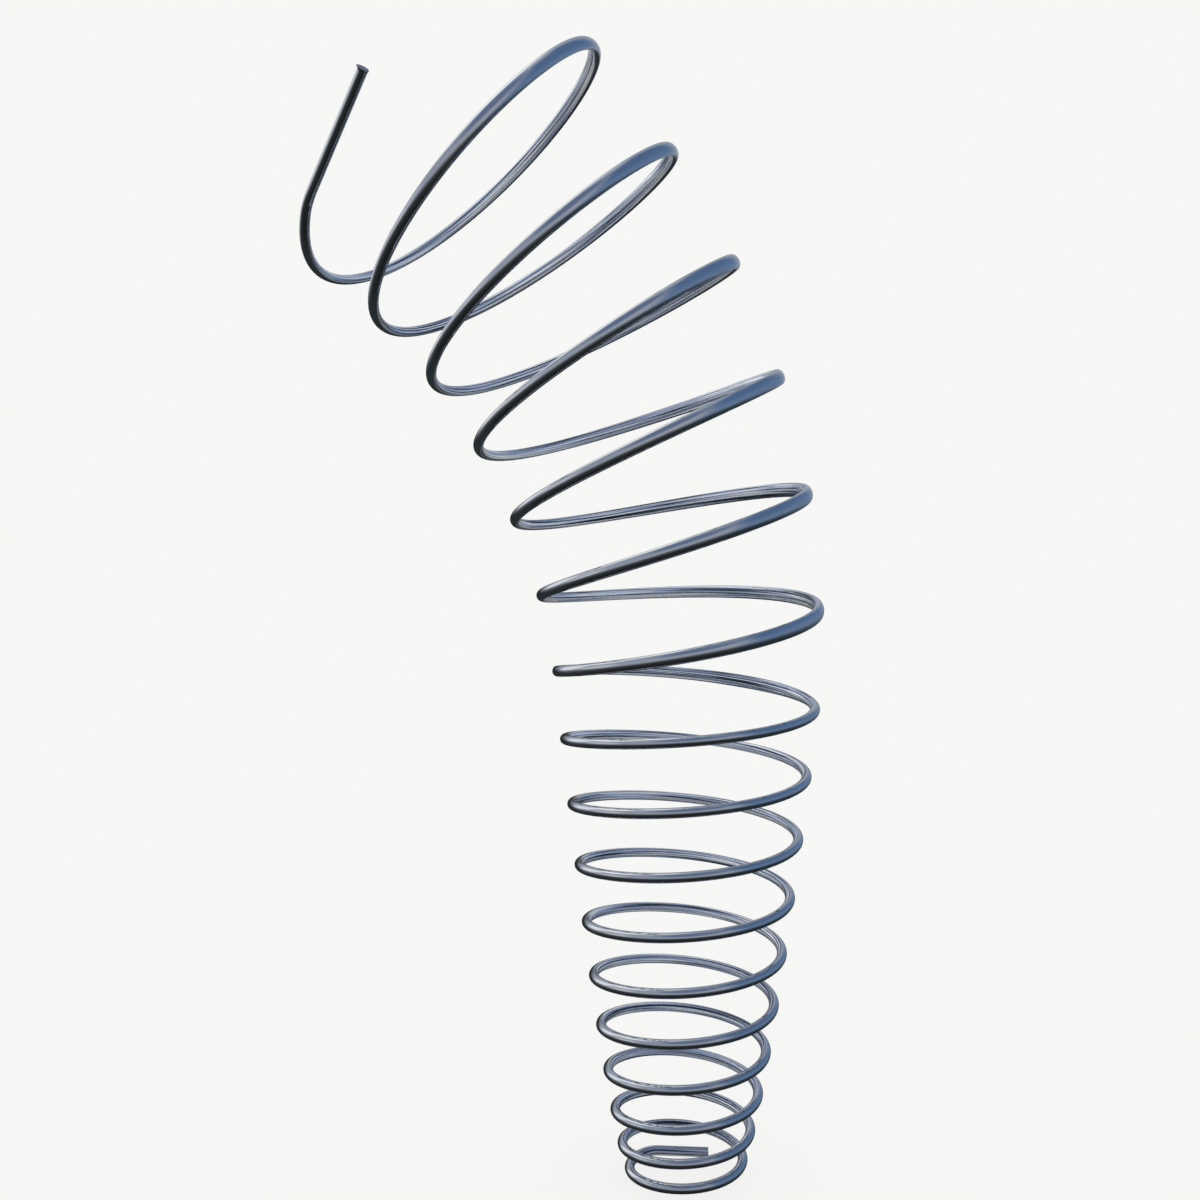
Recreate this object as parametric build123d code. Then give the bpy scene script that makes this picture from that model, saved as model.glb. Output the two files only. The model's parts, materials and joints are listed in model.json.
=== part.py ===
"""Spring coil toy: one steel wire wound into a tall conical coil whose upper third arches over.

The real toy is a single wire, so the nodes here are stretches of that wire, cut at the places
where the model lets it twist or bend. The coil stands on its smallest turn and winds upwards,
anticlockwise seen from above, getting wider turn by turn. From BEND_START on, its axis curves
towards -X.

Places along the wire are given in turns: a whole number is at the right (+X) of its turn,
+0.25 at the back (+Y), +0.5 at the left (-X) and +0.75 at the front (-Y). Up to OVAL_IN the wire
is round and follows a chain of arcs, two to a quarter turn, each tangent to the one before. Above
that it is lofted through oval sections. Both ends are round wire again, bent and then straight.
Lengths are in millimetres, +Z is up and the origin is on the axis of the straight part, level with
the coil's lowest point.
"""
from build123d import *
import math
import os

# Wire: round in the straight part, oval in the arch, where it is higher along the coil's axis
WIRE_DIAMETER = 2.1
WIRE_RADIUS = WIRE_DIAMETER / 2
OVAL_HEIGHT = 1.3  # height of the oval over its width, at the front and back
OVAL_SWING = 0.165  # share by which it is higher on the outside of the arch and lower inside
OVAL_IN = (10.0, 10.2)  # turns between which round becomes oval
OVAL_OUT = (16.3, 16.55)  # and oval becomes round again
OVAL_SECTIONS_PER_TURN = 32
END_CHAMFER = 0.15
FLEX_GAP = 0.1  # slit between two stretches of wire that move

# Coil: mean radius, rise and arch
RADIUS_AT_ZERO = 10.9
RADIUS_PER_TURN = 1.57
RISE_PER_TURN = ((0, 2.5), (1, 5.5), (2, 7.5), (4, 9.8), (6, 11.6), (8, 12.9),
                 (10, 14.7), (10.8, 20.0), (13, 20.8), (17, 23.0))  # (turn, rise there)
BEND_START = 10.2
BEND_PER_TURN = 7.7  # degrees
AXIS_STEPS_PER_TURN = 64

# Cuts in the wire, in turns
BASE_MARKS = (0.5, 0.75, 1.25)  # the base is cut here too, into stretches that don't move
FIRST_FRONT_CUT = 1.75  # lowest moving cut, at the front
LAST_BACK_CUT = 16.25  # highest moving cut, at the back
FIRST_SPLIT_TURN = 10  # from this turn on, the left and right halves are cut in two
LAST_SPLIT_TURN = 16

# Lower end: a tight bend, then a straight leg
LOWER_BEND_TURN = 0.39
LOWER_BEND_RADIUS = 4.0
LOWER_LEG_DIRECTION = Vector(1, 0.02, 0.01)
LOWER_LEG_LENGTH = 10.7

# Upper end: a slight bend, then a straight leg
UPPER_BEND_TURN = 16.61
UPPER_BEND_RADIUS = 14.0
UPPER_BEND_ANGLE = 25.0  # how far the bend turns further inwards, about the coil's axis
UPPER_LEG_LENGTH = 25.8


def coil_radius(turn):
    """Mean radius of the coil at this place."""
    return RADIUS_AT_ZERO + RADIUS_PER_TURN * turn


def rise_per_turn(turn):
    """Rise along the coil's axis per turn, straight-lined between the stated places."""
    for (below, low), (above, high) in zip(RISE_PER_TURN, RISE_PER_TURN[1:]):
        if turn <= above:
            return low + (high - low) * (turn - below) / (above - below)
    return RISE_PER_TURN[-1][1]


def lean(turn):
    """Angle in radians by which the coil's axis leans towards -X at this place."""
    return math.radians(BEND_PER_TURN) * max(turn - BEND_START, 0)


def axis_point(turn):
    """Point of the coil's curved axis, summed up in small steps from turn 0."""
    steps = max(1, round(turn * AXIS_STEPS_PER_TURN))
    step = turn / steps
    x = z = 0
    for number in range(steps):
        middle = (number + 0.5) * step
        advance = rise_per_turn(middle) * step
        x -= advance * math.sin(lean(middle))
        z += advance * math.cos(lean(middle))
    return Vector(x, 0, z)


def axis_direction(turn):
    """Direction of the coil's axis at this place."""
    return Vector(-math.sin(lean(turn)), 0, math.cos(lean(turn)))


def across_direction(turn):
    """Direction from the axis to the right-hand side of the turn, in the plane of the arch."""
    return Vector(math.cos(lean(turn)), 0, math.sin(lean(turn)))


def outward_direction(turn):
    """Direction from the axis to the wire at this place."""
    angle = 2 * math.pi * turn
    return across_direction(turn) * math.cos(angle) + Vector(0, 1, 0) * math.sin(angle)


def coil_point(turn):
    """Centre of the wire at this place, before the coil is lifted onto its lower end."""
    return axis_point(turn) + outward_direction(turn) * coil_radius(turn)


def coil_direction(turn):
    """Direction of the wire at this place, walking up it: around, upwards and a little outwards."""
    angle = 2 * math.pi * turn
    around = Vector(0, 1, 0) * math.cos(angle) - across_direction(turn) * math.sin(angle)
    bend = math.radians(BEND_PER_TURN) if turn > BEND_START else 0
    rise = rise_per_turn(turn) + bend * coil_radius(turn) * math.cos(angle)
    along = around * (2 * math.pi * coil_radius(turn)) + outward_direction(turn) * RADIUS_PER_TURN
    return (along + axis_direction(turn) * rise).normalized()


def smooth_share(value, low, high):
    """0 up to low, 1 from high on and a smooth rise between."""
    share = min(max((value - low) / (high - low), 0), 1)
    return share * share * (3 - 2 * share)


def half_height(turn):
    """Half the height of the wire along the coil's axis at this place."""
    oval = OVAL_HEIGHT * (1 + OVAL_SWING * math.cos(2 * math.pi * turn))
    share = smooth_share(turn, *OVAL_IN) * (1 - smooth_share(turn, *OVAL_OUT))
    return WIRE_RADIUS * (1 + (oval - 1) * share)


def oval_section(turn):
    """Section of the wire in the arch at this place."""
    plane = Plane(origin=coil_point(turn), x_dir=outward_direction(turn), z_dir=coil_direction(turn))
    return plane * Ellipse(WIRE_RADIUS, half_height(turn))


def oval_wire(start, stop, trim_start=0, trim_stop=0):
    """Solid stretch of wire in the arch, shortened at either end by a trim length."""
    start += trim_start / (2 * math.pi * coil_radius(start))
    stop -= trim_stop / (2 * math.pi * coil_radius(stop))
    steps = math.ceil((stop - start) * OVAL_SECTIONS_PER_TURN)
    turns = [start + (stop - start) * number / steps for number in range(steps + 1)]
    return loft([oval_section(turn) for turn in turns])


def arc_through(start, direction, stop):
    """Centre, axis, radius and angle of the arc that leaves start along direction and ends at stop."""
    chord = stop - start
    half_angle = math.radians(direction.get_angle(chord))
    axis = direction.cross(chord).normalized()
    radius = chord.length / (2 * math.sin(half_angle))
    return start + axis.cross(direction) * radius, axis, radius, 2 * half_angle


def two_arcs(start, start_direction, stop, stop_direction):
    """Two arcs, tangent to each other and to both ends, as (start, direction, stop) each."""
    chord = stop - start
    both = chord.dot(start_direction + stop_direction)
    spread = 2 * (1 - start_direction.dot(stop_direction))
    arm = (math.sqrt(both ** 2 + spread * chord.dot(chord)) - both) / spread
    first_corner = start + start_direction * arm
    second_corner = stop - stop_direction * arm
    middle = (first_corner + second_corner) * 0.5
    middle_direction = (second_corner - first_corner).normalized()
    return (start, start_direction, middle), (middle, middle_direction, stop)


def turned(vector, axis, angle):
    """The vector turned about an axis through the origin by an angle in radians."""
    return vector.rotate(Axis((0, 0, 0), axis), math.degrees(angle))


def wire_arc(start, direction, stop, trim_start=0, trim_stop=0):
    """Solid stretch of wire along an arc, shortened at either end by a trim length."""
    centre, axis, radius, angle = arc_through(start, direction, stop)
    bend_axis = Axis(centre, axis)
    section = Plane(origin=start, z_dir=direction) * Circle(WIRE_RADIUS)
    section = section.rotate(bend_axis, math.degrees(trim_start / radius))
    swept = angle - (trim_start + trim_stop) / radius
    return revolve(section, bend_axis, math.degrees(swept))


def wire_between(start, start_direction, stop, stop_direction, trim_start=0, trim_stop=0):
    """Solid stretch of wire on two arcs from one place and direction to another."""
    first, second = two_arcs(start, start_direction, stop, stop_direction)
    return wire_arc(*first, trim_start=trim_start) + wire_arc(*second, trim_stop=trim_stop)


def bend_end(start, direction, axis, radius, angle):
    """Where a bend of this radius and angle about axis ends, and its direction there."""
    centre = start + axis.cross(direction) * radius
    return centre + turned(start - centre, axis, angle), turned(direction, axis, angle)


def straight_leg(start, direction, length):
    """Straight wire with a small chamfer round its cut end."""
    plane = Plane(origin=start, z_dir=direction)
    tip_plane = Plane(origin=start + direction * (length - END_CHAMFER), z_dir=direction)
    shaft = Solid.make_cylinder(WIRE_RADIUS, length - END_CHAMFER, plane)
    tip = Solid.make_cone(WIRE_RADIUS, WIRE_RADIUS - END_CHAMFER, END_CHAMFER, tip_plane)
    return shaft + tip


def lower_leg_start():
    """Where the lower leg leaves its bend, and its direction there, walking down the wire."""
    direction = -coil_direction(LOWER_BEND_TURN)
    leg_direction = LOWER_LEG_DIRECTION.normalized()
    axis = direction.cross(leg_direction).normalized()
    angle = math.radians(direction.get_angle(leg_direction))
    return bend_end(coil_point(LOWER_BEND_TURN), direction, axis, LOWER_BEND_RADIUS, angle)


def upper_leg_start():
    """Where the upper leg leaves its bend, and its direction there, walking up the wire."""
    direction = coil_direction(UPPER_BEND_TURN)
    axis = axis_direction(UPPER_BEND_TURN)
    leg_direction = turned(direction, axis, math.radians(UPPER_BEND_ANGLE))
    axis = direction.cross(leg_direction).normalized()
    angle = math.radians(direction.get_angle(leg_direction))
    return bend_end(coil_point(UPPER_BEND_TURN), direction, axis, UPPER_BEND_RADIUS, angle)


def joint_turns():
    """Every cut in the wire as (turn, kind), from the base up.

    stretch: the wire twists about its own line, at the front and back of each turn.
    arch: it twists at the right of the upper turns, which arches the coil in the XZ plane.
    nod: it bends at the left of the upper turns, which tips the coil forwards or back.
    """
    cuts = []
    turn = FIRST_FRONT_CUT
    while turn <= LAST_BACK_CUT:
        cuts.append((turn, "stretch"))
        turn += 0.5
    for number in range(FIRST_SPLIT_TURN, LAST_SPLIT_TURN + 1):
        cuts.append((number, "arch"))
        cuts.append((number - 0.5, "nod"))
    return sorted(cuts)


PLACE_NAMES = {0.25: "left_back", 0.5: "left_front", 0.75: "right_front", 0.0: "right_back"}
HALF_NAMES = {0.25: "left", 0.75: "right"}


def stretch_name(start, stop):
    """Name of a stretch of wire: its turn, counted from the back, and its part of that turn."""
    number = math.floor(start - 0.25) + 1
    names = PLACE_NAMES if stop - start == 0.25 else HALF_NAMES
    return f"turn_{number:02d}_{names[start % 1]}"


def stretches():
    """Every stretch between the two ends as (name, start turn, stop turn), from the base up."""
    marks = list(BASE_MARKS) + [turn for turn, _ in joint_turns()]
    return [(stretch_name(start, stop), start, stop) for start, stop in zip(marks, marks[1:])]


def coil_stretch(start, stop):
    """Solid wire from one place on the coil to another, joined up from quarter turns or less."""
    cuts = [turn for turn, _ in joint_turns()]
    solid = None
    while start < stop:
        middle = min(start + 0.25, stop)
        trim_start = FLEX_GAP / 2 if start in cuts else 0
        trim_stop = FLEX_GAP / 2 if middle in cuts else 0
        if start < OVAL_IN[0]:
            quarter = wire_between(coil_point(start), coil_direction(start), coil_point(middle),
                                   coil_direction(middle), trim_start, trim_stop)
        else:
            quarter = oval_wire(start, middle, trim_start, trim_stop)
        solid = quarter if solid is None else solid + quarter
        start = middle
    return solid


def lower_end():
    """The cut leg and tight bend at the bottom, up to the left of the first turn."""
    coil = coil_stretch(LOWER_BEND_TURN, BASE_MARKS[0])
    leg_start, direction = lower_leg_start()
    bend = wire_arc(coil_point(LOWER_BEND_TURN), -coil_direction(LOWER_BEND_TURN), leg_start)
    return coil + bend + straight_leg(leg_start, direction, LOWER_LEG_LENGTH)


def upper_end():
    """The last part of the top turn with its straight leg and cut end."""
    coil = coil_stretch(LAST_BACK_CUT, UPPER_BEND_TURN)
    leg_start, direction = upper_leg_start()
    bend = wire_arc(coil_point(UPPER_BEND_TURN), coil_direction(UPPER_BEND_TURN), leg_start)
    return coil + bend + straight_leg(leg_start, direction, UPPER_LEG_LENGTH)


LIFT = Vector(0, 0, -lower_end().bounding_box().min.Z)


def build_nodes():
    """All named stretches of wire, lifted so that the lowest of them touches Z = 0."""
    nodes = {"lower_end": lower_end()}
    for name, start, stop in stretches():
        nodes[name] = coil_stretch(start, stop)
    nodes["upper_end"] = upper_end()
    return {name: solid.translate(LIFT) for name, solid in nodes.items()}


os.makedirs("parts", exist_ok=True)
for node_name, node_solid in build_nodes().items():
    export_step(node_solid, f"parts/{node_name}.step")
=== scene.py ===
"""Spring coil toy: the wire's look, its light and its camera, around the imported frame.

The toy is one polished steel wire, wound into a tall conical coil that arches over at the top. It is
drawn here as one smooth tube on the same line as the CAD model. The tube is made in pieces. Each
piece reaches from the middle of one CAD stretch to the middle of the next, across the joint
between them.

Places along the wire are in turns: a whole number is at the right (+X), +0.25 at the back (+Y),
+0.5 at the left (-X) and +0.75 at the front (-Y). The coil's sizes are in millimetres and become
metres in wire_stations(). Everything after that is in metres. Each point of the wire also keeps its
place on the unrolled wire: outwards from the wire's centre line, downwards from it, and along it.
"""
import json
import math
from collections import namedtuple

import bmesh
import bpy
from mathutils import Color, Matrix, Vector

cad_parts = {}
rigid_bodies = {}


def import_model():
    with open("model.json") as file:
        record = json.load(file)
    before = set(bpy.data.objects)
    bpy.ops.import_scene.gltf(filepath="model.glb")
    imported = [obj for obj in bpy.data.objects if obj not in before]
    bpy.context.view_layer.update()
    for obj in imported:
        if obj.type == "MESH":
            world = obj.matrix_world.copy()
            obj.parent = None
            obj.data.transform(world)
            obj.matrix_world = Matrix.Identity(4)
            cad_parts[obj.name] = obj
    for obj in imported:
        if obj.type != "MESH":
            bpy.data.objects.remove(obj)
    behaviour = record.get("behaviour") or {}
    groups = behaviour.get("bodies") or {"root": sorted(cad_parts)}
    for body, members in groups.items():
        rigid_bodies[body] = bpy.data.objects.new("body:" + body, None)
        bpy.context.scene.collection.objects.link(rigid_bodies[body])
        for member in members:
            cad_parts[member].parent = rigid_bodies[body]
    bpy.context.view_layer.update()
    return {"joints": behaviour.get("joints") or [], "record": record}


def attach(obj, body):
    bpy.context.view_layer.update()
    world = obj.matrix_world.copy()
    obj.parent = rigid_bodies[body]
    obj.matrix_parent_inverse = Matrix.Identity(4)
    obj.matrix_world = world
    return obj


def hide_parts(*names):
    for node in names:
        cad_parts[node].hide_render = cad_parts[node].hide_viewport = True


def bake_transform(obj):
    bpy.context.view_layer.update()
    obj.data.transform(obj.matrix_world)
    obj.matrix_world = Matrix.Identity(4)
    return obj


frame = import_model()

MM = 0.001

# Wire, as in the CAD model: round in the straight part, oval in the arch
WIRE_RADIUS = 1.05
OVAL_HEIGHT = 1.3  # height of the oval over its width, at the front and back
OVAL_SWING = 0.165  # share by which it is higher on the outside of the arch and lower inside
OVAL_IN = (10.0, 10.2)  # turns between which round becomes oval
OVAL_OUT = (16.3, 16.55)  # and oval becomes round again
RADIUS_AT_ZERO = 10.9
RADIUS_PER_TURN = 1.57
RISE_PER_TURN = ((0, 2.5), (1, 5.5), (2, 7.5), (4, 9.8), (6, 11.6), (8, 12.9),
                 (10, 14.7), (10.8, 20.0), (13, 20.8), (17, 23.0))  # (turn, rise there)
BEND_START = 10.2
BEND_PER_TURN = math.radians(7.7)
LOWER_BEND_TURN = 0.39
LOWER_BEND_RADIUS = 4.0
LOWER_LEG_DIRECTION = Vector((1, 0.02, 0.01)).normalized()
LOWER_LEG_LENGTH = 10.7
UPPER_BEND_TURN = 16.61
UPPER_BEND_RADIUS = 14.0
UPPER_BEND_ANGLE = math.radians(25)
UPPER_LEG_LENGTH = 25.8

# Tube mesh
RINGS_PER_TURN = 288
SAME_TURN = 1e-9  # two places closer than this are the same place
SIDES = 32
BEND_RING_ANGLE = math.radians(3)
LEG_RING_SPACING = 1.0

# Cut ends: the wire swells towards the cut, and sticks out further on one side as a burr. A lip's
# length is in millimetres, its flare and burr are shares of the radius, and its side is an angle
Lip = namedtuple("Lip", "length flare burr side")
LOWER_LIP = Lip(0.42, 0.02, 0.05, 1.2)
UPPER_LIP = Lip(0.7, 0.10, 0.26, -1.07)
LIP_RINGS = 9
BURR_NARROWNESS = 3
CUT_TILT = math.radians(4)
CUT_RING_SHARES = (0.93, 0.72, 0.45, 0.2)
CUT_DOME = 0.05

# Joints: where the middle of each CAD stretch lies
PLACE_STARTS = {"left": 0.25, "left_back": 0.25, "left_front": 0.5,
                "right": 0.75, "right_front": 0.75, "right_back": 1.0}
BASE_MIDDLE_NODE = "turn_02_left"
UPPER_END_MIDDLE = 16.4375  # the ring nearest the middle of its coiled part

# Camera
CAMERA_PLACE = (0.01638, -0.29447, 0.13922)
CAMERA_ANGLES = (86.961, -0.228, 6.805)  # degrees
CAMERA_LENS = 42.06
SENSOR_WIDTH = 36.0
CAMERA_CLIP_START = 0.01

# Wire finish. A grain is its sizes outwards, downwards and along the wire, and its detail
TINT_GRAIN = ((0.8 * MM, 0.8 * MM, 30 * MM), 2)
# the scores' grain also lays out the painted reflection streaks on the inner side
SCORE_AND_PAINTED_STREAK_GRAIN = ((0.34 * MM, 0.34 * MM, 34 * MM), 3)
DRAG_GRAIN = ((0.09 * MM, 1.2 * MM, 1 * MM), 3)
TORN_GRAIN = ((0.35 * MM, 0.5 * MM, 1 * MM), 4)
NOISE_RANGE = (0.35, 0.7)  # where nearly all of a noise's values lie
OUTER_COLOURS = ((0.35, (0.60, 0.63, 0.69)), (0.65, (0.67, 0.69, 0.73)))
# painted reflection on the side towards the coil's axis: streaks from black through blue to white
# that stand in for the neighbouring turns and the room mirrored there, the white ones painted
# highlight lines
INNER_PAINTED_REFLECTION_COLOURS = ((0.40, (0.03, 0.04, 0.06)), (0.47, (0.35, 0.41, 0.55)),
                 (0.53, (0.47, 0.55, 0.72)), (0.60, (1.0, 1.0, 1.0)))
# lower than bare steel, so that the painted reflection colours show on the inner side
INNER_METALLIC = 0.6
OUTER_ROUGHNESS = (0.03, 0.08)
INNER_ROUGHNESS = (0.06, 0.2)
BUMP_STRENGTHS = (0.15, 1)
SCORE_DEPTH = 0.012 * MM
INNER_START = 0.2 * WIRE_RADIUS * MM  # how far outside the wire's centre line the scores and painted reflection streaks start
INNER_FULL = -0.15 * WIRE_RADIUS * MM  # and where they are full
UNDER_START = 1.0 * WIRE_RADIUS * MM  # how far below it they start to fade, in the oval wire only
UNDER_CLEAN = 1.2 * WIRE_RADIUS * MM  # and where they are gone
CUT_COLOURS = ((0.35, (0.24, 0.26, 0.27)), (0.65, (0.42, 0.44, 0.45)))
CUT_ROUGHNESS = (0.28, 0.5)
DRAG_DEPTH = 0.006 * MM

# Floor and light
FLOOR_SIZE = 40.0
FLOOR_GLOW = 0.88  # share of the floor's brightness that no shadow takes away
PAPER_COLOUR = (0.930, 0.930, 0.913)
WHITE = (1, 1, 1)

# The room in the wire: what a patch of it looks like in the metal, as display values. A side of the
# room is a column of (elevation, colour) from the floor up
WIRE_REFLECTANCE = (0.64, 0.66, 0.70)
BLUE_SIDE = ((-60, (30, 32, 34)), (-25, (38, 48, 54)), (-10, (68, 80, 95)), (-3, (92, 110, 130)),
             (10, (90, 112, 144)), (45, (72, 97, 131)), (70, (80, 100, 132)), (85, (136, 150, 168)))
GREY_SIDE = ((-60, (28, 30, 30)), (-25, (44, 47, 48)), (-10, (82, 86, 90)), (0, (130, 135, 146)),
             (15, (140, 147, 160)), (45, (128, 137, 154)), (85, (142, 155, 174)))
BLUE_SIDE_CENTRE = 72
BLUE_SIDE_EDGE = (0.35, 0.8)
HORIZON = (-9, 5)  # below the first the bench hides the lamps, above the second they are clear
ROOM_LAMPS = (
    (178, 52, 14, 38, (92, 105, 131)),
    (-100, 8, 6, 24, (172, 177, 184)),
    (-60, 54, 10, 29, (236, 239, 243)),
    (-58, 17, 3, 23, (212, 215, 221)),
)  # (azimuth, elevation, inner edge, outer edge, colour), later ones over earlier ones
ROOM_FLAGS = (
    (-16, -24, 24, 42, (36, 41, 44)),
)  # the same, for dark screens that stand in front of the lamps

Station = namedtuple("Station", "turn place along outward run")


# ---------------------------------------------------------------- the wire's line

def coil_radius(turn):
    """Mean radius of the coil at this place."""
    return RADIUS_AT_ZERO + RADIUS_PER_TURN * turn


def rise_per_turn(turn):
    """Rise along the coil's axis per turn, straight-lined between the stated places."""
    for (below, low), (above, high) in zip(RISE_PER_TURN, RISE_PER_TURN[1:]):
        if turn <= above:
            return low + (high - low) * (turn - below) / (above - below)
    return RISE_PER_TURN[-1][1]


def lean(turn):
    """Angle by which the coil's axis leans towards -X at this place."""
    return BEND_PER_TURN * max(turn - BEND_START, 0)


def axis_direction(turn):
    """Direction of the coil's axis at this place."""
    return Vector((-math.sin(lean(turn)), 0, math.cos(lean(turn))))


def across_direction(turn):
    """Direction from the axis to the right-hand side of the turn, in the plane of the arch."""
    return Vector((math.cos(lean(turn)), 0, math.sin(lean(turn))))


def outward_direction(turn):
    """Direction from the axis to the wire at this place."""
    angle = 2 * math.pi * turn
    return across_direction(turn) * math.cos(angle) + Vector((0, 1, 0)) * math.sin(angle)


def coil_direction(turn):
    """Direction of the wire at this place, walking up it: around, upwards and a little outwards."""
    angle = 2 * math.pi * turn
    around = Vector((0, 1, 0)) * math.cos(angle) - across_direction(turn) * math.sin(angle)
    bend = BEND_PER_TURN if turn > BEND_START else 0
    rise = rise_per_turn(turn) + bend * coil_radius(turn) * math.cos(angle)
    along = around * (2 * math.pi * coil_radius(turn)) + outward_direction(turn) * RADIUS_PER_TURN
    return (along + axis_direction(turn) * rise).normalized()


def smooth_share(value, low, high):
    """0 up to low, 1 from high on and a smooth rise between, for a plain number."""
    share = min(max((value - low) / (high - low), 0), 1)
    return share * share * (3 - 2 * share)


def height_over_width(turn):
    """How much higher than wide the wire is at this place."""
    oval = OVAL_HEIGHT * (1 + OVAL_SWING * math.cos(2 * math.pi * turn))
    share = smooth_share(turn, *OVAL_IN) * (1 - smooth_share(turn, *OVAL_OUT))
    return 1 + (oval - 1) * share


def square_to(vector, along):
    """The part of the vector that is square to the wire, at unit length."""
    return (vector - along * vector.dot(along)).normalized()


def coil_turns():
    """Every place on the coil that gets a ring, evenly spaced between its two ends."""
    first = math.floor(LOWER_BEND_TURN * RINGS_PER_TURN) + 1
    last = math.floor(UPPER_BEND_TURN * RINGS_PER_TURN)
    even = [number / RINGS_PER_TURN for number in range(first, last + 1)]
    return [LOWER_BEND_TURN] + even + [UPPER_BEND_TURN]


def coil_stations():
    """The coiled part of the wire. The axis is summed up from turn 0 on the way."""
    stations = []
    axis = Vector((0, 0, 0))
    before = 0
    under_coil = [number / RINGS_PER_TURN for number in range(1, RINGS_PER_TURN)
                  if number / RINGS_PER_TURN < LOWER_BEND_TURN]
    for turn in under_coil + coil_turns():
        middle = (before + turn) / 2
        axis = axis + axis_direction(middle) * (rise_per_turn(middle) * (turn - before))
        before = turn
        if turn >= LOWER_BEND_TURN:
            along = coil_direction(turn)
            place = axis + outward_direction(turn) * coil_radius(turn)
            outward = square_to(outward_direction(turn), along)
            stations.append(Station(turn, place, along, outward, 0))
    return stations


def round_bend(start, heading, leg_heading, radius):
    """Stations after start round a bend from one heading to another. Heading leaves the coil."""
    axis = heading.cross(leg_heading).normalized()
    angle = heading.angle(leg_heading)
    centre = start.place + axis.cross(heading) * radius
    steps = math.ceil(angle / BEND_RING_ANGLE)
    stations = []
    for number in range(1, steps + 1):
        turned = Matrix.Rotation(angle * number / steps, 3, axis)
        place = centre + turned @ (start.place - centre)
        stations.append(start._replace(place=place, along=turned @ start.along,
                                       outward=turned @ start.outward))
    return stations


def down_leg(start, heading, length, lip):
    """Stations after start down a straight leg, closer together where the lip of the cut is."""
    plain = length - lip.length
    count = math.ceil(plain / LEG_RING_SPACING)
    reaches = [plain * number / count for number in range(1, count + 1)]
    reaches += [length - lip.length * (1 - number / LIP_RINGS) ** 2
                for number in range(1, LIP_RINGS + 1)]
    return [start._replace(place=start.place + heading * reach) for reach in reaches]


def end_stations(start, heading, leg_heading, radius, length, lip):
    """A bend and a straight leg, walking away from the coil."""
    bend = round_bend(start, heading, leg_heading, radius)
    return bend + down_leg(bend[-1], leg_heading, length, lip)


def wire_stations():
    """The whole wire in metres in the row frame, from its lower tip to its upper tip."""
    coil = coil_stations()
    lower = end_stations(coil[0], -coil[0].along, LOWER_LEG_DIRECTION,
                         LOWER_BEND_RADIUS, LOWER_LEG_LENGTH, LOWER_LIP)
    upper_heading = coil[-1].along
    sideways = Matrix.Rotation(UPPER_BEND_ANGLE, 3, axis_direction(UPPER_BEND_TURN))
    upper = end_stations(coil[-1], upper_heading, sideways @ upper_heading,
                         UPPER_BEND_RADIUS, UPPER_LEG_LENGTH, UPPER_LIP)
    line = lower[::-1] + coil + upper
    lift = Vector((0, 0, frame_lift(coil)))
    stations = []
    run = 0
    for number, station in enumerate(line):
        if number:
            run += (station.place - line[number - 1].place).length * MM
        stations.append(station._replace(place=station.place * MM + lift, run=run))
    return stations


def frame_lift(coil):
    """How far the CAD model lifts the coil, from where its lowest joint lies."""
    joint = frame["joints"][0]
    turn = middle_turn(BASE_MIDDLE_NODE) + 0.25
    station = next(s for s in coil if abs(s.turn - turn) < SAME_TURN)
    return joint["pos_m"][2] - station.place.z * MM


# ---------------------------------------------------------------- the tube's mesh

def ring_points(station, radii):
    """One ring of points round the wire, with their places on the unrolled wire."""
    beside = station.along.cross(station.outward)
    height = height_over_width(station.turn)
    points = []
    for side, radius in enumerate(radii):
        angle = 2 * math.pi * side / SIDES
        x, y = radius * math.cos(angle), radius * height * math.sin(angle)
        points.append((station.place + station.outward * x + beside * y, (x, y, station.run)))
    return points


def lip_radii(distance, lip):
    """Radius of each side of a ring at this distance from a cut end with this lip."""
    swell = max(0, 1 - distance / (lip.length * MM)) ** 2
    radii = []
    for side in range(SIDES):
        towards_burr = math.cos(2 * math.pi * side / SIDES - lip.side)
        burr = lip.burr * max(0, towards_burr) ** BURR_NARROWNESS
        radii.append(WIRE_RADIUS * MM * (1 + swell * (lip.flare + burr)))
    return radii


def add_ring(bm, layer, points):
    """Puts a ring of points into the mesh."""
    verts = []
    for place, unrolled in points:
        vert = bm.verts.new(place)
        vert[layer] = Vector(unrolled)
        verts.append(vert)
    return verts


def join_rings(bm, lower, upper, material=0):
    """Smooth quads between two rings."""
    for side in range(SIDES):
        after = (side + 1) % SIDES
        face = bm.faces.new((lower[side], lower[after], upper[after], upper[side]))
        face.smooth = True
        face.material_index = material


def close_flat(bm, ring, facing_up):
    """A flat face across the wire where one piece meets the next."""
    face = bm.faces.new(ring if facing_up else ring[::-1])
    for edge in face.edges:
        edge.smooth = False


def close_cut(bm, layer, station, rim, facing_up):
    """The sheared face of a cut end: slightly tilted and domed, inside a crisp edge."""
    away = station.along if facing_up else -station.along
    rings = [rim]
    for share in CUT_RING_SHARES:
        dome = away * (CUT_DOME * MM * (1 - share ** 2))
        centre = station.place + dome
        points = [(centre + (vert.co - station.place) * share, vert[layer] * share) for vert in rim]
        points = [(place, (x, y, station.run)) for place, (x, y, _) in points]
        rings.append(add_ring(bm, layer, points))
    for outer, inner in zip(rings, rings[1:]):
        join_rings(bm, *((outer, inner) if facing_up else (inner, outer)), material=1)
    face = bm.faces.new(rings[-1] if facing_up else rings[-1][::-1])
    face.material_index = 1
    face.smooth = True
    for side in range(SIDES):
        bm.edges.get((rim[side], rim[(side + 1) % SIDES])).smooth = False


def tilt_rim(station, points):
    """Tilts the last ring of a cut end, as a blade leaves it."""
    slope = math.tan(CUT_TILT)
    return [(place + station.along * (slope * unrolled[0]), unrolled) for place, unrolled in points]


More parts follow.
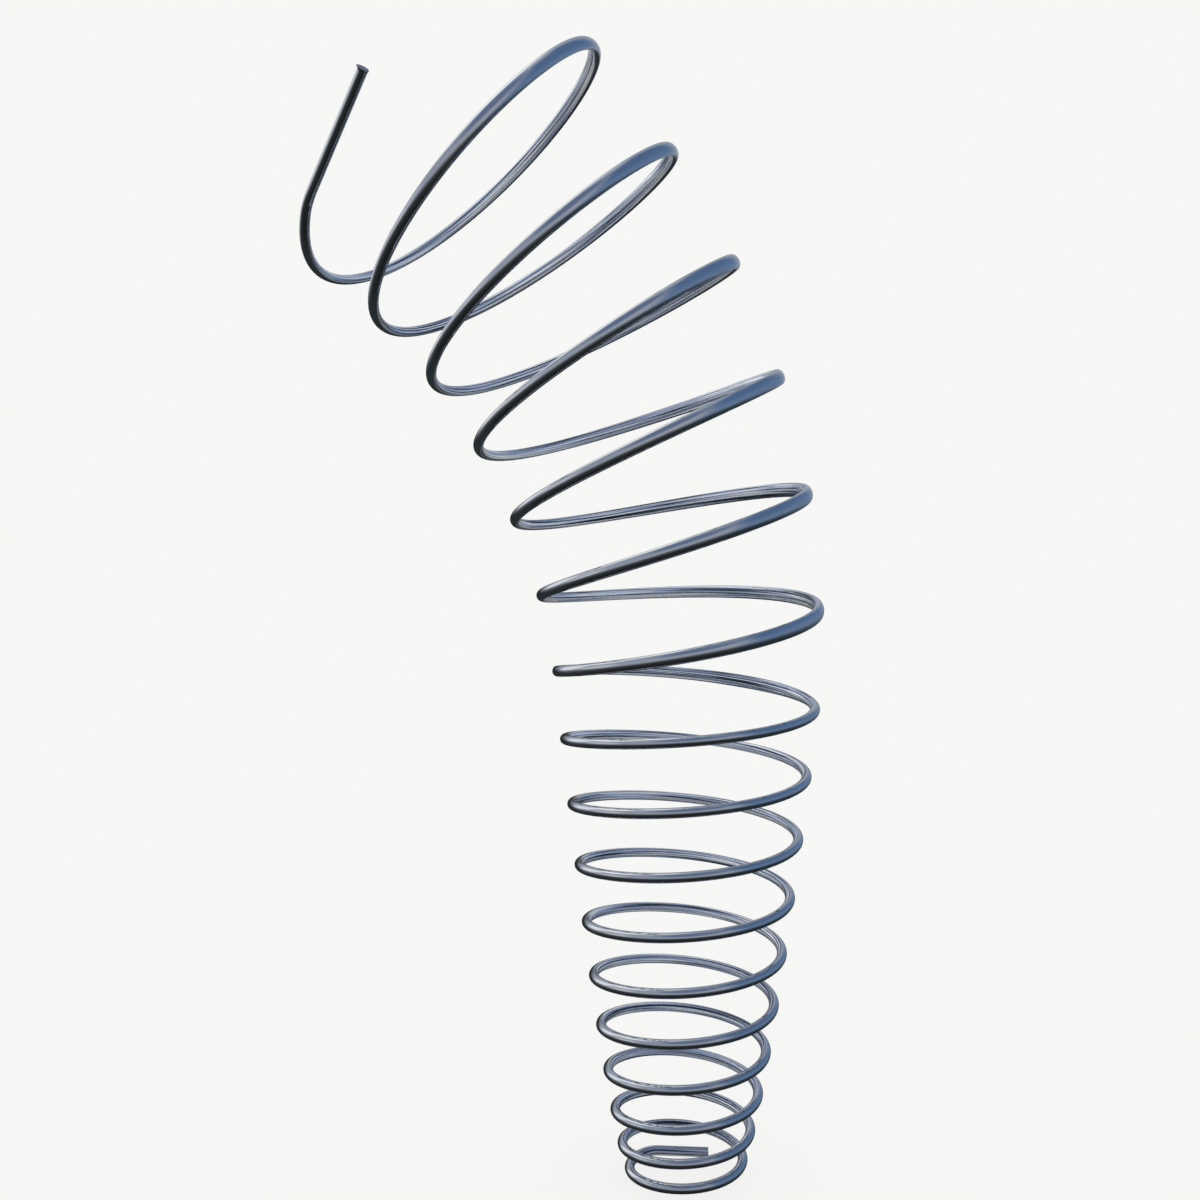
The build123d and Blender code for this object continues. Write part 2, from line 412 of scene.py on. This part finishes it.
def tube(name, stations, start_lip=None, stop_lip=None):
    """A closed length of wire through these stations. An end with a lip is a sheared end."""
    bm = bmesh.new()
    layer = bm.verts.layers.float_vector.new("wire_place")
    rings = []
    for station in stations:
        radii = [WIRE_RADIUS * MM] * SIDES
        if start_lip:
            radii = lip_radii(station.run - stations[0].run, start_lip)
        if stop_lip:
            radii = lip_radii(stations[-1].run - station.run, stop_lip)
        points = ring_points(station, radii)
        if (station is stations[0] and start_lip) or (station is stations[-1] and stop_lip):
            points = tilt_rim(station, points)
        rings.append(add_ring(bm, layer, points))
    for lower, upper in zip(rings, rings[1:]):
        join_rings(bm, lower, upper)
    if start_lip:
        close_cut(bm, layer, stations[0], rings[0], False)
    else:
        close_flat(bm, rings[0], False)
    if stop_lip:
        close_cut(bm, layer, stations[-1], rings[-1], True)
    else:
        close_flat(bm, rings[-1], True)
    mesh = bpy.data.meshes.new(name)
    bm.to_mesh(mesh)
    bm.free()
    mesh.materials.append(bpy.data.materials["polished_wire"])
    mesh.materials.append(bpy.data.materials["sheared_steel"])
    piece = bpy.data.objects.new(name, mesh)
    bpy.context.scene.collection.objects.link(piece)
    return piece


# ---------------------------------------------------------------- materials

# Sockets of a Mix node, which share their names and so are found by number
MIX_SHARE = 0
MIX_NUMBERS = (2, 3)
MIX_COLOURS = (6, 7)
MIX_NUMBER_RESULT = 0
MIX_COLOUR_RESULT = 2


def new_node(tree, kind, **settings):
    """A new node with these settings."""
    node = tree.nodes.new(kind)
    for name, value in settings.items():
        setattr(node, name, value)
    return node


def start_material(name):
    """A new node material, its tree and its Principled shader."""
    material = bpy.data.materials.new(name)
    material.use_nodes = True
    return material, material.node_tree, material.node_tree.nodes["Principled BSDF"]


def grain(tree, sizes, detail):
    """Noise of these sizes in metres: outwards, downwards and along the wire."""
    place = new_node(tree, "ShaderNodeAttribute", attribute_name="wire_place")
    scaled = new_node(tree, "ShaderNodeVectorMath", operation="DIVIDE")
    scaled.inputs[1].default_value = sizes
    noise = new_node(tree, "ShaderNodeTexNoise")
    noise.inputs["Scale"].default_value = 1
    noise.inputs["Detail"].default_value = detail
    tree.links.new(place.outputs["Vector"], scaled.inputs[0])
    tree.links.new(scaled.outputs["Vector"], noise.inputs["Vector"])
    return noise.outputs["Fac"]


def ramp_between(tree, value, low, high, first, last):
    """A number that goes from first to last as value goes from low to high."""
    node = new_node(tree, "ShaderNodeMapRange")
    node.inputs["From Min"].default_value = low
    node.inputs["From Max"].default_value = high
    node.inputs["To Min"].default_value = first
    node.inputs["To Max"].default_value = last
    tree.links.new(value, node.inputs["Value"])
    return node.outputs["Result"]


def smooth_step(tree, value, low, high):
    """0 at low, 1 at high and a smooth change between, for a shader value."""
    node = new_node(tree, "ShaderNodeMapRange", interpolation_type="SMOOTHSTEP")
    node.inputs["From Min"].default_value = low
    node.inputs["From Max"].default_value = high
    tree.links.new(value, node.inputs["Value"])
    return node.outputs["Result"]


def product(tree, first, second):
    """Two numbers multiplied."""
    node = new_node(tree, "ShaderNodeMath", operation="MULTIPLY")
    tree.links.new(first, node.inputs[0])
    tree.links.new(second, node.inputs[1])
    return node.outputs[0]


def inner_share(tree):
    """1 on the side of the wire that faces the coil's axis, 0 outside and underneath. This is where
    the scores and the painted reflection streaks go.
    """
    place = new_node(tree, "ShaderNodeAttribute", attribute_name="wire_place")
    split = new_node(tree, "ShaderNodeSeparateXYZ")
    tree.links.new(place.outputs["Vector"], split.inputs[0])
    inwards = smooth_step(tree, split.outputs["X"], INNER_START, INNER_FULL)
    not_under = smooth_step(tree, split.outputs["Y"], UNDER_CLEAN, UNDER_START)
    return product(tree, inwards, not_under)


def colour_ramp(tree, value, stops):
    """Colours by value, each stop being (value, colour)."""
    node = new_node(tree, "ShaderNodeValToRGB")
    elements = node.color_ramp.elements
    while len(elements) < len(stops):
        elements.new(1)
    for element, (position, colour) in zip(elements, stops):
        element.position = position
        element.color = (*colour, 1)
    tree.links.new(value, node.inputs["Fac"])
    return node.outputs["Color"]


def mix_colours(tree, share, *colours):
    """The first colour where share is 0 and the second where it is 1. Each is a socket or plain."""
    node = new_node(tree, "ShaderNodeMix", data_type="RGBA")
    tree.links.new(share, node.inputs[MIX_SHARE])
    for number, colour in zip(MIX_COLOURS, colours):
        if isinstance(colour, bpy.types.NodeSocket):
            tree.links.new(colour, node.inputs[number])
        else:
            node.inputs[number].default_value = (*colour, 1)
    return node.outputs[MIX_COLOUR_RESULT]


def mix_numbers(tree, share, *values):
    """The first value where share is 0 and the second where it is 1."""
    node = new_node(tree, "ShaderNodeMix", data_type="FLOAT")
    tree.links.new(share, node.inputs[MIX_SHARE])
    for number, value in zip(MIX_NUMBERS, values):
        tree.links.new(value, node.inputs[number])
    return node.outputs[MIX_NUMBER_RESULT]


def make_polished_wire():
    """Bright steel wire. The side towards the coil's axis is scored along the wire, and painted there
    with streaks, dark to white, that stand in for the neighbouring turns and the room it mirrors.
    """
    _, tree, shader = start_material("polished_wire")
    inner = inner_share(tree)
    tint = grain(tree, *TINT_GRAIN)
    scores_and_painted_streaks = grain(tree, *SCORE_AND_PAINTED_STREAK_GRAIN)
    outer_colour = colour_ramp(tree, tint, OUTER_COLOURS)
    # painted reflection streaks and painted highlight lines on the inner side
    inner_painted_reflection = colour_ramp(tree, scores_and_painted_streaks, INNER_PAINTED_REFLECTION_COLOURS)
    tree.links.new(mix_colours(tree, inner, outer_colour, inner_painted_reflection), shader.inputs["Base Color"])
    # less metallic on the inner side, so that the painted reflection shows
    tree.links.new(ramp_between(tree, inner, 0, 1, 1, INNER_METALLIC), shader.inputs["Metallic"])
    outer_roughness = ramp_between(tree, tint, *NOISE_RANGE, *OUTER_ROUGHNESS)
    inner_roughness = ramp_between(tree, scores_and_painted_streaks, *NOISE_RANGE, *INNER_ROUGHNESS)
    tree.links.new(mix_numbers(tree, inner, outer_roughness, inner_roughness),
                   shader.inputs["Roughness"])
    bump = new_node(tree, "ShaderNodeBump")
    tree.links.new(ramp_between(tree, inner, 0, 1, *BUMP_STRENGTHS), bump.inputs["Strength"])
    bump.inputs["Distance"].default_value = SCORE_DEPTH
    tree.links.new(scores_and_painted_streaks, bump.inputs["Height"])
    tree.links.new(bump.outputs["Normal"], shader.inputs["Normal"])


def make_sheared_steel():
    """The face that a cutter leaves: dull, with drag marks across it and a coarser torn part."""
    _, tree, shader = start_material("sheared_steel")
    drag = grain(tree, *DRAG_GRAIN)
    torn = grain(tree, *TORN_GRAIN)
    tree.links.new(colour_ramp(tree, torn, CUT_COLOURS), shader.inputs["Base Color"])
    tree.links.new(ramp_between(tree, drag, *NOISE_RANGE, *CUT_ROUGHNESS), shader.inputs["Roughness"])
    shader.inputs["Metallic"].default_value = 1
    bump = new_node(tree, "ShaderNodeBump")
    bump.inputs["Strength"].default_value = 1
    bump.inputs["Distance"].default_value = DRAG_DEPTH
    tree.links.new(drag, bump.inputs["Height"])
    tree.links.new(bump.outputs["Normal"], shader.inputs["Normal"])


# ---------------------------------------------------------------- the wire's pieces

def middle_turn(node):
    """Middle of a CAD stretch, in turns, from its name."""
    if node == "upper_end":
        return UPPER_END_MIDDLE
    _, number, place = node.split("_", 2)
    length = 0.5 if place in ("left", "right") else 0.25
    return int(number) - 1 + PLACE_STARTS[place] + length / 2


def between(stations, start, stop):
    """The stations from one place on the coil to another, both included."""
    return [s for s in stations if start - SAME_TURN <= s.turn <= stop + SAME_TURN]


def make_base(stations):
    """The lower leg and the smallest turns, which stay still."""
    middle = middle_turn(BASE_MIDDLE_NODE)
    piece = tube("wire_base", between(stations, 0, middle), start_lip=LOWER_LIP)
    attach(piece, "base_turns")
    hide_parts(*frame["record"]["behaviour"]["bodies"]["base_turns"])


def make_bending_piece(stations, joint):
    """The wire from the middle of one stretch to the middle of the next, across their joint."""
    parent, child = joint["parent"], joint["child"]
    parent_node = BASE_MIDDLE_NODE if parent == "base_turns" else parent
    part = between(stations, middle_turn(parent_node), middle_turn(child))
    piece = tube("wire_" + child, part)
    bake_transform(piece)
    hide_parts(child)


def make_upper_leg(stations):
    """The end of the top turn with its straight leg and cut end."""
    part = between(stations, UPPER_END_MIDDLE, UPPER_BEND_TURN)
    piece = tube("wire_upper_leg", part, stop_lip=UPPER_LIP)
    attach(piece, "upper_end")
    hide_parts("upper_end")


# ---------------------------------------------------------------- stage

def make_floor():
    """A plain pale floor, as bright as the light round it, so that it has no far edge."""
    mesh = bpy.data.meshes.new("floor")
    half = FLOOR_SIZE / 2
    corners = [(-half, -half, 0), (half, -half, 0), (half, half, 0), (-half, half, 0)]
    mesh.from_pydata(corners, [], [(0, 1, 2, 3)])
    floor = bpy.data.objects.new("floor", mesh)
    bpy.context.scene.collection.objects.link(floor)
    material, _, shader = start_material("pale_paper")
    shader.inputs["Base Color"].default_value = (*(c * (1 - FLOOR_GLOW) for c in PAPER_COLOUR), 1)
    shader.inputs["Emission Color"].default_value = (*PAPER_COLOUR, 1)
    shader.inputs["Emission Strength"].default_value = FLOOR_GLOW
    shader.inputs["Roughness"].default_value = 1
    shader.inputs["Specular IOR Level"].default_value = 0
    mesh.materials.append(material)
    floor.visible_glossy = False


def towards(azimuth, elevation):
    """Unit direction: azimuth 0 is the back (+Y) and 90 the right (+X), in degrees."""
    across, up = math.radians(azimuth), math.radians(elevation)
    return (math.sin(across) * math.cos(up), math.cos(across) * math.cos(up), math.sin(up))


def lamp_colour(shown):
    """The light that the wire shows as this display colour, 0 to 255."""
    linear = Color([value / 255 for value in shown]).from_srgb_to_scene_linear()
    return [value / share for value, share in zip(linear, WIRE_REFLECTANCE)]


def height_ramp(tree, height, stops):
    """Colours by elevation in degrees. Height is 0 straight down and 1 straight up."""
    return colour_ramp(tree, height, [((math.sin(math.radians(elevation)) + 1) / 2,
                                       lamp_colour(shown)) for elevation, shown in stops])


def facing(tree, direction, towards_direction):
    """How much the ray points that way: 1 straight at it, 0 square to it."""
    node = new_node(tree, "ShaderNodeVectorMath", operation="DOT_PRODUCT")
    tree.links.new(direction, node.inputs[0])
    node.inputs[1].default_value = towards_direction
    return node.outputs["Value"]


def patch_share(tree, direction, azimuth, elevation, inner, outer):
    """1 inside a round patch of the room, 0 outside it and soft between the two edges, in degrees."""
    near = facing(tree, direction, towards(azimuth, elevation))
    return smooth_step(tree, near, math.cos(math.radians(outer)), math.cos(math.radians(inner)))


def reflected_room(tree, direction):
    """What the wire reflects: a dark bench, a blue side, a grey side and soft lamps."""
    split = new_node(tree, "ShaderNodeSeparateXYZ")
    tree.links.new(direction, split.inputs[0])
    height = ramp_between(tree, split.outputs["Z"], -1, 1, 0, 1)
    blue = height_ramp(tree, height, BLUE_SIDE)
    grey = height_ramp(tree, height, GREY_SIDE)
    level = new_node(tree, "ShaderNodeVectorMath", operation="MULTIPLY")
    level.inputs[1].default_value = (1, 1, 0)
    tree.links.new(direction, level.inputs[0])
    compass = new_node(tree, "ShaderNodeVectorMath", operation="NORMALIZE")
    tree.links.new(level.outputs[0], compass.inputs[0])
    near_blue = facing(tree, compass.outputs[0], towards(BLUE_SIDE_CENTRE, 0))
    share = smooth_step(tree, near_blue, *BLUE_SIDE_EDGE)
    colour = mix_colours(tree, share, grey, blue)
    clear = smooth_step(tree, split.outputs["Z"], *(math.sin(math.radians(e)) for e in HORIZON))
    for *patch, shown in ROOM_LAMPS:
        share = product(tree, patch_share(tree, direction, *patch), clear)
        colour = mix_colours(tree, share, colour, lamp_colour(shown))
    for *patch, shown in ROOM_FLAGS:
        share = patch_share(tree, direction, *patch)
        colour = mix_colours(tree, share, colour, lamp_colour(shown))
    return colour


def make_light():
    """A plain soft studio: even white light on everything, and a room that only the wire mirrors."""
    world = bpy.data.worlds.new("studio")
    bpy.context.scene.world = world
    world.use_nodes = True
    world.cycles.sampling_method = "NONE"
    tree = world.node_tree
    tree.nodes.clear()
    room = reflected_room(tree, new_node(tree, "ShaderNodeTexCoord").outputs["Generated"])
    rays = new_node(tree, "ShaderNodeLightPath")
    light = mix_colours(tree, rays.outputs["Is Glossy Ray"], WHITE, room)
    seen = mix_colours(tree, rays.outputs["Is Camera Ray"], light, PAPER_COLOUR)
    background = new_node(tree, "ShaderNodeBackground")
    tree.links.new(seen, background.inputs["Color"])
    output = new_node(tree, "ShaderNodeOutputWorld")
    tree.links.new(background.outputs[0], output.inputs["Surface"])


def make_camera():
    """The camera at the photographed angle."""
    data = bpy.data.cameras.new("camera")
    data.lens = CAMERA_LENS
    data.sensor_width = SENSOR_WIDTH
    data.clip_start = CAMERA_CLIP_START
    data.dof.use_dof = False
    camera = bpy.data.objects.new("camera", data)
    camera.location = CAMERA_PLACE
    camera.rotation_euler = [math.radians(angle) for angle in CAMERA_ANGLES]
    bpy.context.scene.collection.objects.link(camera)
    bpy.context.scene.camera = camera


make_camera()
make_floor()
make_light()
make_polished_wire()
make_sheared_steel()
bpy.context.scene.view_settings.view_transform = "Standard"

line = wire_stations()
make_base(line)
for joint in frame["joints"]:
    make_bending_piece(line, joint)
make_upper_leg(line)
